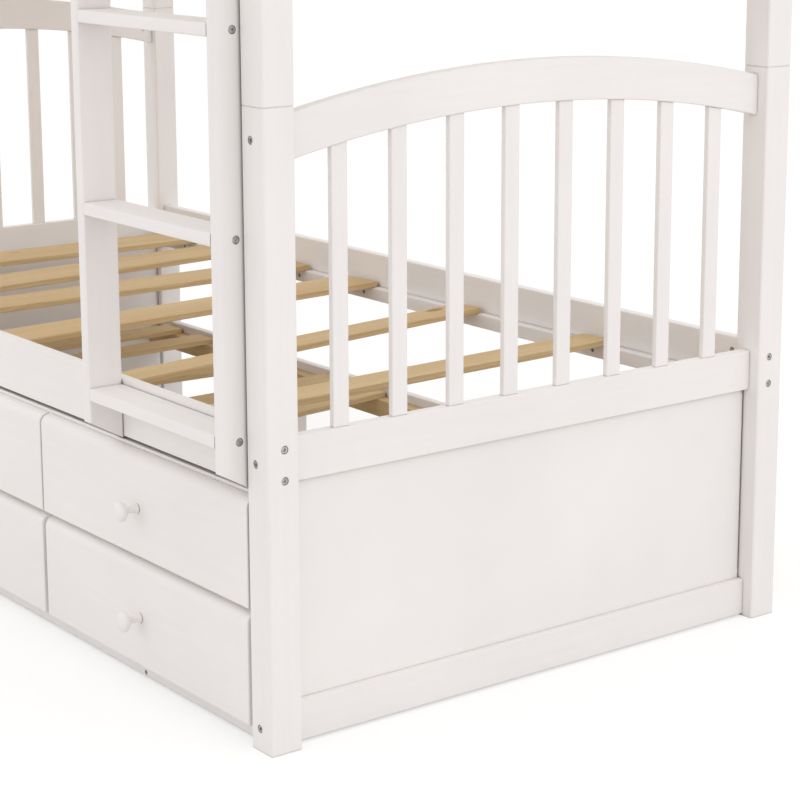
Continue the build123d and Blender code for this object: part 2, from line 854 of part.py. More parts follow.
guard_heights = guard_rail_screw_heights + guard_board_screw_heights
guard_screws = wood_screws(
    guard_screw_planes(-1, guard_front_uprights, guard_heights)
    + guard_screw_planes(1, guard_back_uprights, guard_heights),
    screw_length,
)
guard_screws.part.label = "guard_screws"
export_step(guard_screws.part, "parts/guard_screws.step")


# Trundle: places in its case

trundle_width = 2 * (post_inner_x - trundle_post_gap)
front_width = (trundle_width - (column_count - 1) * front_gap) / column_count
column_pitch = front_width + front_gap
column_middles = [(i - (column_count - 1) / 2) * column_pitch for i in range(column_count)]
divider_middles = [x + column_pitch / 2 for x in column_middles[:-1]]
case_half = trundle_width / 2 - case_end_setback
case_inside = case_half - case_board
front_back = front_face + front_thickness
case_front = front_back + case_board
case_back_outer = back_face - post_size - case_back_gap
case_back = case_back_outer - case_board
case_low = wheel_diameter + fork_room
trundle_cleat_low = trundle_slat_seat - trundle_cleat_depth


def trundle_screw_planes(y_side):
    """Where the screws enter the inner face of the trundle's front (-1) or back (1) cleat."""
    first = trundle_screw_offset - (trundle_screw_count - 1) / 2 * trundle_screw_pitch
    y = case_back - trundle_cleat_thickness if y_side == 1 else case_front + trundle_cleat_thickness
    z = trundle_slat_seat - trundle_screw_drop
    return [
        Plane(origin=(first + i * trundle_screw_pitch, y, z), z_dir=(0, -y_side, 0))
        for i in range(trundle_screw_count)
    ]


def skirt_screw_planes():
    """Where the screws enter the front of the bottom rail, one under each drawer."""
    return [
        Plane(origin=(x + skirt_screw_offset, front_back, skirt_screw_height), z_dir=(0, -1, 0))
        for x in column_middles
    ]


# Trundle case

with BuildPart() as trundle_ends:
    block((case_inside, case_half), (case_front, case_back), (case_low, case_top))
    mirror(about=Plane.YZ)
trundle_ends.part.label = "trundle_ends"
export_step(trundle_ends.part, "parts/trundle_ends.step")

with BuildPart() as trundle_dividers:
    for x in divider_middles:
        block(
            (x - case_board / 2, x + case_board / 2),
            (case_front, case_back),
            (case_low, trundle_cleat_low),
        )
trundle_dividers.part.label = "trundle_dividers"
export_step(trundle_dividers.part, "parts/trundle_dividers.step")

with BuildPart() as trundle_back_rail:
    block((-case_half, case_half), (case_back, case_back_outer), (case_top - back_rail_depth, case_top))
    fillet(trundle_back_rail.edges().filter_by(Axis.X), rail_edge)
    drill(
        trundle_screw_planes(1),
        screw_diameter + 2 * screw_clearance,
        trundle_screw_length + screw_clearance,
    )
trundle_back_rail.part.label = "trundle_back_rail"
export_step(trundle_back_rail.part, "parts/trundle_back_rail.step")

with BuildPart() as trundle_front_rail:
    block((-case_half, case_half), (front_back, case_front), (trundle_cleat_low, case_front_rail_top))
    drill(
        trundle_screw_planes(-1),
        screw_diameter + 2 * screw_clearance,
        trundle_screw_length + screw_clearance,
    )
trundle_front_rail.part.label = "trundle_front_rail"
export_step(trundle_front_rail.part, "parts/trundle_front_rail.step")

with BuildPart() as trundle_bottom_rail:
    block((-case_half, case_half), (front_back, case_front), (bottom_rail_gap, bottom_rail_top))
    screw_holes(skirt_screw_planes())
trundle_bottom_rail.part.label = "trundle_bottom_rail"
export_step(trundle_bottom_rail.part, "parts/trundle_bottom_rail.step")

with BuildPart() as trundle_cleats:
    front_cleat = (case_front, case_front + trundle_cleat_thickness)
    back_cleat = (case_back - trundle_cleat_thickness, case_back)
    for y_pair in (front_cleat, back_cleat):
        block((-case_inside, case_inside), y_pair, (trundle_cleat_low, trundle_slat_seat))
    fillet(trundle_cleats.edges().filter_by(Axis.X), deck_slat_edge)
    with Locations(*(trundle_screw_planes(1) + trundle_screw_planes(-1))):
        CounterSinkHole(
            radius=screw_diameter / 2 + screw_clearance,
            counter_sink_radius=screw_head_diameter / 2 + screw_clearance,
            depth=trundle_cleat_thickness + 1,
            counter_sink_angle=90,
        )
trundle_cleats.part.label = "trundle_cleats"
export_step(trundle_cleats.part, "parts/trundle_cleats.step")

trundle_slats = loose_slats(
    trundle_slat_places, (case_front + case_back) / 2, trundle_slat_length, trundle_slat_seat
)
trundle_slats.part.label = "trundle_slats"
export_step(trundle_slats.part, "parts/trundle_slats.step")

with BuildPart() as trundle_screws:
    add(wood_screws(trundle_screw_planes(1) + trundle_screw_planes(-1), trundle_screw_length).part)
    add(wood_screws(skirt_screw_planes(), case_board - 1).part)
trundle_screws.part.label = "trundle_screws"
export_step(trundle_screws.part, "parts/trundle_screws.step")

# Runners: strips on the case's inner walls under the drawers' sides
with BuildPart() as drawer_runners:
    walls = [(-case_inside, 1), (case_inside, -1)]
    for x in divider_middles:
        walls += [(x - case_board / 2, -1), (x + case_board / 2, 1)]
    for wall_x, away in walls:
        block(
            (wall_x, wall_x + away * runner_width),
            (case_front, front_back + box_depth),
            (box_low - fit_gap - runner_depth, box_low - fit_gap),
        )
drawer_runners.part.label = "drawer_runners"
export_step(drawer_runners.part, "parts/drawer_runners.step")


# Drawer fronts and knobs

def shaped_front(x_middle, width, low, depth):
    """A front board with a big quarter round along its top and eased front edges, bored for its knob."""
    with BuildPart() as front:
        end_plane = Plane(origin=(x_middle - width / 2, 0, 0), x_dir=(0, 1, 0), z_dir=(1, 0, 0))
        with BuildSketch(end_plane) as section:
            with Locations((front_face, low)):
                Rectangle(front_thickness, depth, align=(Align.MIN, Align.MIN))
            top_corner = section.vertices().sort_by(Axis.Y)[-2:].sort_by(Axis.X)[0]
            fillet(top_corner, front_top_radius)
        extrude(amount=width)
        side_edges = front.edges().filter_by(Axis.Z).group_by(Axis.Y)[0]
        low_edge = front.edges().filter_by(Axis.X).group_by(Axis.Z)[0].group_by(Axis.Y)[0]
        fillet(side_edges + low_edge, front_edge)
        drill(
            [Plane(origin=(x_middle, front_face, low + depth / 2 - knob_drop), z_dir=(0, -1, 0))],
            knob_stud_diameter + 2 * knob_clearance,
            knob_stud_length + knob_clearance,
        )
    return front


def knobs(x_middles, height):
    """Turned wooden knobs: a round-rimmed head on a waisted neck, with a stud in the front."""
    stud = knob_stud_diameter / 2
    base = knob_neck_diameter / 2
    head = knob_head_diameter / 2
    rim = knob_head_height / 2
    under_head = knob_reach - knob_head_height
    throat = head - rim
    with BuildPart() as knob:
        with BuildSketch(Plane.XZ):
            with BuildLine():
                Polyline(
                    (throat, knob_reach), (0, knob_reach), (0, -knob_stud_length),
                    (stud, -knob_stud_length), (stud, 0), (base, 0),
                )
                ThreePointArc((base, 0), (knob_waist_diameter / 2, under_head / 2), (throat, under_head))
                ThreePointArc((throat, under_head), (head, under_head + rim), (throat, knob_reach))
            make_face()
        revolve(axis=Axis.Z)
    with BuildPart() as group:
        with Locations(*[Plane(origin=(x, front_face, height), z_dir=(0, -1, 0)) for x in x_middles]):
            add(knob.part)
    return group


with BuildPart() as trundle_fronts:
    for x in column_middles:
        add(shaped_front(x, front_width, upper_front_low, upper_front_depth).part)
trundle_fronts.part.label = "trundle_fronts"
export_step(trundle_fronts.part, "parts/trundle_fronts.step")

trundle_knobs = knobs(column_middles, upper_front_low + upper_front_depth / 2 - knob_drop)
trundle_knobs.part.label = "trundle_knobs"
export_step(trundle_knobs.part, "parts/trundle_knobs.step")


# Drawers, numbered from the left

def drawer_box(left, right):
    """Sides, back and bottom of one drawer between the walls of its column."""
    outer = (left + box_side_gap, right - box_side_gap)
    inner = (outer[0] + box_board + glue_line, outer[1] - box_board - glue_line)
    back = front_back + box_depth
    with BuildPart() as boards:
        for x in outer:
            wall = (x, x + box_board) if x == outer[0] else (x - box_board, x)
            block(wall, (front_back, back), (box_low, box_low + box_height))
        block(inner, (back - box_board, back), (box_low, box_low + box_height))
        block(
            inner,
            (front_back, back - box_board - glue_line),
            (box_low + box_bottom_lift, box_low + box_bottom_lift + box_bottom_thickness),
        )
    return boards


column_walls = [-case_inside]
for x in divider_middles:
    column_walls += [x - case_board / 2, x + case_board / 2]
column_walls += [case_inside]

for i, x in enumerate(column_middles):
    drawer_front = shaped_front(x, front_width - drawer_front_play, drawer_front_low, drawer_front_depth)
    drawer_front.part.label = f"drawer_front_{i + 1}"
    export_step(drawer_front.part, f"parts/drawer_front_{i + 1}.step")

    box_boards = drawer_box(column_walls[2 * i], column_walls[2 * i + 1])
    box_boards.part.label = f"drawer_box_{i + 1}"
    export_step(box_boards.part, f"parts/drawer_box_{i + 1}.step")

    knob = knobs([x], drawer_front_low + drawer_front_depth / 2 - knob_drop)
    knob.part.label = f"drawer_knob_{i + 1}"
    export_step(knob.part, f"parts/drawer_knob_{i + 1}.step")


# Casters: a fork under each end and divider, front and back

caster_xs = [-(case_half - case_board / 2)] + divider_middles + [case_half - case_board / 2]
caster_front_y = case_front + caster_end_distance
caster_back_y = case_back - caster_end_distance
caster_places = [(x, y) for x in caster_xs for y in (caster_front_y, caster_back_y)]
fork_inside = wheel_width / 2 + fork_cheek_gap
fork_outside = fork_inside + fork_cheek
axle_height = wheel_diameter / 2


def axle_planes(places):
    """The outer right-hand face of each fork, facing along the axle."""
    return [Plane(origin=(x + fork_outside, y, axle_height), z_dir=(1, 0, 0)) for x, y in places]


with BuildPart() as caster_forks:
    for x, y in caster_places:
        block(
            (x - fork_outside, x + fork_outside),
            (y - fork_plate_length / 2, y + fork_plate_length / 2),
            (case_low - fork_plate_thickness, case_low),
        )
        for cheek in ((x - fork_outside, x - fork_inside), (x + fork_inside, x + fork_outside)):
            block(
                cheek,
                (y - fork_cheek_width / 2, y + fork_cheek_width / 2),
                (axle_height - fork_cheek_tail, case_low - fork_plate_thickness),
            )
    drill(axle_planes(caster_places), axle_diameter, 2 * fork_outside)
caster_forks.part.label = "caster_forks"
export_step(caster_forks.part, "parts/caster_forks.step")

with BuildPart() as caster_axles:
    with Locations(*axle_planes(caster_places)):
        Cylinder(axle_diameter / 2, 2 * fork_outside, align=(Align.CENTER, Align.CENTER, Align.MAX))
        Cylinder(rivet_diameter / 2, rivet_height, align=(Align.CENTER, Align.CENTER, Align.MIN))
    with Locations(*[plane.offset(-2 * fork_outside) for plane in axle_planes(caster_places)]):
        Cylinder(rivet_diameter / 2, rivet_height, align=(Align.CENTER, Align.CENTER, Align.MAX))
caster_axles.part.label = "caster_axles"
export_step(caster_axles.part, "parts/caster_axles.step")


def caster_wheels(y):
    """The wheels that share one line of axles across the trundle."""
    with BuildPart() as wheels:
        with Locations(*[Plane(origin=(x, y, axle_height), z_dir=(1, 0, 0)) for x in caster_xs]):
            Cylinder(wheel_diameter / 2, wheel_width)
        fillet(wheels.edges().filter_by(GeomType.CIRCLE), wheel_edge)
        hubs = [Plane(origin=(x + wheel_width / 2, y, axle_height), z_dir=(1, 0, 0)) for x in caster_xs]
        with Locations(*hubs):
            Hole(radius=axle_diameter / 2 + axle_running_gap, depth=wheel_width)
    return wheels


front_caster_wheels = caster_wheels(caster_front_y)
front_caster_wheels.part.label = "front_caster_wheels"
export_step(front_caster_wheels.part, "parts/front_caster_wheels.step")

back_caster_wheels = caster_wheels(caster_back_y)
back_caster_wheels.part.label = "back_caster_wheels"
export_step(back_caster_wheels.part, "parts/back_caster_wheels.step")
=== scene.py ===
import math
import random

import bmesh
import bpy
from mathutils import Matrix, Quaternion, Vector


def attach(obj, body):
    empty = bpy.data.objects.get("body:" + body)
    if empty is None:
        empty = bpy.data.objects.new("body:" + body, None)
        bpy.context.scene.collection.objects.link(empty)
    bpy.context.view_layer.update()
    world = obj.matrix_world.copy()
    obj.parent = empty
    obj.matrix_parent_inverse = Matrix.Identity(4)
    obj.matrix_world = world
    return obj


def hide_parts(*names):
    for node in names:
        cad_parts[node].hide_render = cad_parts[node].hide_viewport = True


# A white painted twin bunk bed over a rolling trundle with three drawers, dressed around its packed
# CAD frame. Everything is in metres, X along the bed, -Y to the front, Z up.
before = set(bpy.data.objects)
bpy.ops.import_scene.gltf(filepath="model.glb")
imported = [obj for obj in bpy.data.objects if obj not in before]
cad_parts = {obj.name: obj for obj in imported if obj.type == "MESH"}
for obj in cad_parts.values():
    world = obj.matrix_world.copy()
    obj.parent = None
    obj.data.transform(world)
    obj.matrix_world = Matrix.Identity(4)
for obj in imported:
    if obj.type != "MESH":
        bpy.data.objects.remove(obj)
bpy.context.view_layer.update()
scene = bpy.context.scene
scene.view_settings.view_transform = "Standard"


# Camera: stands off the ladder end of the front, a little over the lower mattress deck, and looks down
# along the bed past the near post. It has the photograph's angle and framing.
PICTURE_WIDTH = 800
FOCAL_PIXELS = 2190.5
CAMERA_PLACE = (3.585, -2.2012, 1.3008)
CAMERA_YAW = 0.6455
CAMERA_PITCH = 0.2047
CAMERA_ROLL = -0.0032

camera_data = bpy.data.cameras.new("camera")
camera_data.sensor_width = 36.0
camera_data.lens = FOCAL_PIXELS / PICTURE_WIDTH * camera_data.sensor_width
camera_data.shift_y = -0.1
camera_data.clip_end = 200.0
camera = bpy.data.objects.new("camera", camera_data)
scene.collection.objects.link(camera)
look = Vector((
    -math.cos(CAMERA_YAW) * math.cos(CAMERA_PITCH),
    math.sin(CAMERA_YAW) * math.cos(CAMERA_PITCH),
    -math.sin(CAMERA_PITCH),
))
camera.location = CAMERA_PLACE
camera.rotation_mode = "QUATERNION"
camera.rotation_quaternion = look.to_track_quat("-Z", "Y") @ Quaternion((0, 0, 1), CAMERA_ROLL)
scene.camera = camera


# Studio: a white sweep under a soft white sky, with a broad lamp over the ladder end and weaker ones
# over the front and the top. The floor shows white to the eye and keeps the bed's shadow.
def new_material(name):
    """An empty node material with its output, ready for links."""
    material = bpy.data.materials.new(name)
    material.use_nodes = True
    material.node_tree.nodes.clear()
    return material, material.node_tree, material.node_tree.nodes.new("ShaderNodeOutputMaterial")


def node(tree, kind, **settings):
    """Adds a shader node; names that are sockets set the socket, the rest set the node."""
    made = tree.nodes.new("ShaderNode" + kind)
    for key, value in settings.items():
        if key in made.inputs:
            made.inputs[key].default_value = value
        else:
            setattr(made, key, value)
    return made


def seen_directly(tree):
    """1 where the ray comes from the eye, a mirror or glass, 0 where it lights something."""
    path = node(tree, "LightPath")
    first = node(tree, "Math", operation="MAXIMUM")
    both = node(tree, "Math", operation="MAXIMUM")
    tree.links.new(path.outputs["Is Camera Ray"], first.inputs[0])
    tree.links.new(path.outputs["Is Glossy Ray"], first.inputs[1])
    tree.links.new(first.outputs[0], both.inputs[0])
    tree.links.new(path.outputs["Is Transmission Ray"], both.inputs[1])
    return both.outputs[0]


world = bpy.data.worlds.new("studio")
world.use_nodes = True
scene.world = world
sky = world.node_tree
sky.nodes.clear()
sky_out = node(sky, "OutputWorld")
sky_light = node(sky, "Background", Color=(1.0, 0.985, 0.97, 1), Strength=1.0)
sky_white = node(sky, "Background", Color=(1, 1, 1, 1), Strength=1.0)
sky_mix = node(sky, "MixShader")
sky.links.new(seen_directly(sky), sky_mix.inputs[0])
sky.links.new(sky_light.outputs[0], sky_mix.inputs[1])
sky.links.new(sky_white.outputs[0], sky_mix.inputs[2])
sky.links.new(sky_mix.outputs[0], sky_out.inputs[0])

floor_material, tree, out = new_material("studio_floor")
bounce = node(tree, "BsdfDiffuse", Color=(0.80, 0.79, 0.78, 1))
shown = node(tree, "BsdfDiffuse", Color=(0.42, 0.42, 0.42, 1))
glow = node(tree, "Emission", Color=(1, 1, 1, 1), Strength=0.60)
lit = node(tree, "AddShader")
choose = node(tree, "MixShader")
tree.links.new(shown.outputs[0], lit.inputs[0])
tree.links.new(glow.outputs[0], lit.inputs[1])
tree.links.new(seen_directly(tree), choose.inputs[0])
tree.links.new(bounce.outputs[0], choose.inputs[1])
tree.links.new(lit.outputs[0], choose.inputs[2])
tree.links.new(choose.outputs[0], out.inputs[0])

FLOOR_HALF = 60.0
floor_mesh = bpy.data.meshes.new("studio_floor")
floor_mesh.from_pydata(
    [(-FLOOR_HALF, -FLOOR_HALF, 0), (FLOOR_HALF, -FLOOR_HALF, 0),
     (FLOOR_HALF, FLOOR_HALF, 0), (-FLOOR_HALF, FLOOR_HALF, 0)],
    [], [(0, 1, 2, 3)],
)
floor_mesh.materials.append(floor_material)
floor = bpy.data.objects.new("studio_floor", floor_mesh)
scene.collection.objects.link(floor)


def soft_lamp(name, place, aim, size, watts, colour):
    """A square soft box that points at one spot of the bed."""
    data = bpy.data.lights.new(name, "AREA")
    data.shape = "SQUARE"
    data.size = size
    data.energy = watts
    data.color = colour
    lamp = bpy.data.objects.new(name, data)
    lamp.location = place
    lamp.rotation_mode = "QUATERNION"
    lamp.rotation_quaternion = (Vector(aim) - Vector(place)).to_track_quat("-Z", "Y")
    scene.collection.objects.link(lamp)


soft_lamp("end_lamp", (5.5, 1.5, 3.2), (0.5, 0, 0.6), 3.5, 36, (1.0, 0.985, 0.98))
soft_lamp("front_lamp", (-1.5, -6.0, 3.0), (0.2, 0, 0.6), 3.5, 20, (1.0, 0.98, 0.955))
soft_lamp("top_lamp", (0.5, 0.0, 6.0), (0, 0, 0), 4.0, 12, (1.0, 0.99, 0.98))


# Lower posts: square lengths of planed pine with eased arrises, bevelled at the seam, sprayed with
# satin white. The grain shows faintly through the paint, and the arrises are a little rubbed.
PAINT = (0.865, 0.84, 0.835, 1)
RUBBED = (0.66, 0.60, 0.54, 1)
# The crevice colour is painted shade: the paint is darkened toward it in creases, seams and counterbores, as
# far as nearby surfaces hem them in.
CREVICE_SHADE = (0.20, 0.18, 0.165, 1)
ARRIS_RADIUS = 0.0022
SEAM_SHADE = (0.008, 0.15, 0.62)


def satin_white(name, grain="Z", telegraph=1.0, seam=SEAM_SHADE, unshaded_below=None):
    """Satin white paint on wood whose grain runs along one axis, with painted shade in its creases and
    seams.
    A seam is that shade's reach and the openness where it is darkest and where it is clear; below a given
    height no painted shade is laid."""
    material, tree, out = new_material(name)
    links = tree.links
    place = node(tree, "TexCoord").outputs["Object"]
    along = {"X": (5, 95, 95), "Y": (95, 5, 95), "Z": (95, 95, 5)}[grain]
    stretched = node(tree, "Mapping", Scale=along)
    links.new(place, stretched.inputs["Vector"])
    fibre = node(tree, "TexNoise", Scale=1.0, Detail=5.0, Roughness=0.62)
    links.new(stretched.outputs[0], fibre.inputs["Vector"])
    cloud = node(tree, "TexNoise", Scale=2.6, Detail=3.0, Roughness=0.55)
    links.new(place, cloud.inputs["Vector"])
    skin = node(tree, "TexNoise", Scale=420.0, Detail=2.0, Roughness=0.5)
    links.new(place, skin.inputs["Vector"])

    rounding = node(tree, "Bevel", samples=4, Radius=ARRIS_RADIUS)
    plain = node(tree, "NewGeometry")
    turn = node(tree, "VectorMath", operation="DOT_PRODUCT")
    links.new(rounding.outputs[0], turn.inputs[0])
    links.new(plain.outputs["Normal"], turn.inputs[1])
    arris = node(tree, "MapRange")
    arris.inputs["From Min"].default_value = 0.995
    arris.inputs["From Max"].default_value = 0.80
    links.new(turn.outputs["Value"], arris.inputs["Value"])
    patchy = node(tree, "MapRange")
    patchy.inputs["From Min"].default_value = 0.42
    patchy.inputs["From Max"].default_value = 0.70
    patchy.inputs["To Max"].default_value = 0.34
    links.new(cloud.outputs["Fac"], patchy.inputs["Value"])
    rub = node(tree, "Math", operation="MULTIPLY")
    links.new(arris.outputs[0], rub.inputs[0])
    links.new(patchy.outputs[0], rub.inputs[1])

    tone = node(tree, "ValToRGB")
    tone.color_ramp.elements[0].position = 0.32
    tone.color_ramp.elements[0].color = tuple(0.955 * c for c in PAINT[:3]) + (1,)
    tone.color_ramp.elements[1].position = 0.68
    tone.color_ramp.elements[1].color = tuple(min(1.0, 1.02 * c) for c in PAINT[:3]) + (1,)
    blend = node(tree, "Mix", data_type="FLOAT")
    blend.inputs["Factor"].default_value = 0.35 * telegraph
    links.new(cloud.outputs["Fac"], blend.inputs[2])
    links.new(fibre.outputs["Fac"], blend.inputs[3])
    links.new(blend.outputs[0], tone.inputs["Fac"])
    coat = node(tree, "Mix", data_type="RGBA")
    coat.inputs[7].default_value = RUBBED
    links.new(rub.outputs[0], coat.inputs["Factor"])
    links.new(tone.outputs["Color"], coat.inputs[6])
    # Painted shade: the coat is mixed toward the crevice colour where nearby surfaces occlude it, except
    # below the given height.
    shade_reach, shade_dark, shade_clear = seam
    occlusion = node(tree, "AmbientOcclusion", samples=6, Distance=shade_reach)
    out_of_shade = node(tree, "MapRange")
    out_of_shade.inputs["From Min"].default_value = shade_dark
    out_of_shade.inputs["From Max"].default_value = shade_clear
    links.new(occlusion.outputs["AO"], out_of_shade.inputs["Value"])
    unshaded_share = out_of_shade.outputs[0]
    if unshaded_below is not None:
        axes = node(tree, "SeparateXYZ")
        links.new(place, axes.inputs[0])
        foot = node(tree, "Math", operation="LESS_THAN")
        foot.inputs[1].default_value = unshaded_below
        links.new(axes.outputs["Z"], foot.inputs[0])
        either = node(tree, "Math", operation="MAXIMUM")
        links.new(unshaded_share, either.inputs[0])
        links.new(foot.outputs[0], either.inputs[1])
        unshaded_share = either.outputs[0]
    painted_shade = node(tree, "Mix", data_type="RGBA")
    painted_shade.inputs[6].default_value = CREVICE_SHADE
    links.new(unshaded_share, painted_shade.inputs["Factor"])
    links.new(coat.outputs[2], painted_shade.inputs[7])

    sheen = node(tree, "MapRange")
    sheen.inputs["To Min"].default_value = 0.40
    sheen.inputs["To Max"].default_value = 0.56
    links.new(cloud.outputs["Fac"], sheen.inputs["Value"])
    relief = node(tree, "Bump", Strength=0.35 * telegraph, Distance=0.0006)
    links.new(fibre.outputs["Fac"], relief.inputs["Height"])
    links.new(rounding.outputs[0], relief.inputs["Normal"])
    orange_peel = node(tree, "Bump", Strength=0.12, Distance=0.0003)
    links.new(skin.outputs["Fac"], orange_peel.inputs["Height"])
    links.new(relief.outputs[0], orange_peel.inputs["Normal"])

    shader = node(tree, "BsdfPrincipled")
    shader.inputs["Specular IOR Level"].default_value = 0.38
    links.new(painted_shade.outputs[2], shader.inputs["Base Color"])
    links.new(sheen.outputs[0], shader.inputs["Roughness"])
    links.new(orange_peel.outputs[0], shader.inputs["Normal"])
    links.new(shader.outputs[0], out.inputs[0])
    return material


def finish_cad(material, *names):
    """Gives CAD pieces that keep their own shape a better finish."""
    for name in names:
        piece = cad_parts[name]
        if not piece.material_slots:
            piece.data.materials.append(material)
        for held in piece.material_slots:
            held.material = material


white_upright = satin_white("white_paint_upright", "Z")
finish_cad(
    white_upright,
    "lower_post_front_right", "lower_post_front_left", "lower_post_back_right", "lower_post_back_left",
)


# End frames: rails bolted between the posts, an arched one on top, with eight slats housed under the
# arch and a thin smooth panel grooved in below the cross rail. All are painted with the posts.
white_crosswise = satin_white("white_paint_crosswise", "Y")
# The panel's seam settings lay a wider, stronger painted shade under the cross rail and beside the posts;
# below the foot height no painted shade is laid.
PANEL_SEAM_SHADE = (0.012, 0.50, 0.70)
PANEL_FOOT = 0.085
white_panel = satin_white(
    "white_paint_panel", "Y", telegraph=0.25, seam=PANEL_SEAM_SHADE, unshaded_below=PANEL_FOOT)
finish_cad(
    white_crosswise,
    "lower_arch_rail_right", "lower_arch_rail_left", "lower_cross_rail_right", "lower_cross_rail_left",
    "end_bottom_rails",
)
finish_cad(white_upright, "lower_end_slats")
finish_cad(white_panel, "end_panel_right", "end_panel_left")


# Side rails and cleats: painted boards bolted to the posts' sides, each with a square cleat screwed
# along the inside for the slats to lie on.
white_lengthwise = satin_white("white_paint_lengthwise", "X")
finish_cad(white_lengthwise, "lower_side_rail_front", "lower_side_rail_back", "lower_deck_cleats")


# Bolts, barrel nuts and screws: zinc plated steel, turned heads with a hexagon socket, slightly
# clouded plating.
def plated_steel(name, colour, roughness):
    """Zinc plated steel with clouded brightness and fine turning marks."""
    material, tree, out = new_material(name)
    links = tree.links
    place = node(tree, "TexCoord").outputs["Object"]
    cloud = node(tree, "TexNoise", Scale=260.0, Detail=4.0, Roughness=0.6)
    links.new(place, cloud.inputs["Vector"])
    marks = node(tree, "TexNoise", Scale=2600.0, Detail=2.0)
    links.new(place, marks.inputs["Vector"])
    tone = node(tree, "ValToRGB")
    tone.color_ramp.elements[0].position = 0.35
    tone.color_ramp.elements[0].color = tuple(0.42 * c for c in colour) + (1,)
    tone.color_ramp.elements[1].position = 0.65
    tone.color_ramp.elements[1].color = colour + (1,)
    links.new(cloud.outputs["Fac"], tone.inputs["Fac"])
    dull = node(tree, "MapRange")
    dull.inputs["To Min"].default_value = roughness
    dull.inputs["To Max"].default_value = roughness + 0.2
    links.new(cloud.outputs["Fac"], dull.inputs["Value"])
    relief = node(tree, "Bump", Strength=0.2, Distance=0.0001)
    links.new(marks.outputs["Fac"], relief.inputs["Height"])
    shader = node(tree, "BsdfPrincipled", Metallic=1.0)
    links.new(tone.outputs["Color"], shader.inputs["Base Color"])
    links.new(dull.outputs[0], shader.inputs["Roughness"])
    links.new(relief.outputs[0], shader.inputs["Normal"])
    links.new(shader.outputs[0], out.inputs[0])
    return material


bolt_steel = plated_steel("bolt_steel", (0.66, 0.66, 0.65), 0.24)
screw_steel = plated_steel("screw_steel", (0.40, 0.39, 0.37), 0.30)
finish_cad(bolt_steel, "frame_bolts", "barrel_nuts")
finish_cad(screw_steel, "deck_screws")


# Lower deck: seven loose slats of bare planed pine with eased edges, none quite square to the bed.
# Each slat is cut from its own board, so rings and knots differ from one to the next.
PINE_LIGHT = (0.70, 0.545, 0.316)
PINE_DEEP = (0.53, 0.354, 0.171)
PINE_KNOT = (0.16, 0.07, 0.025)


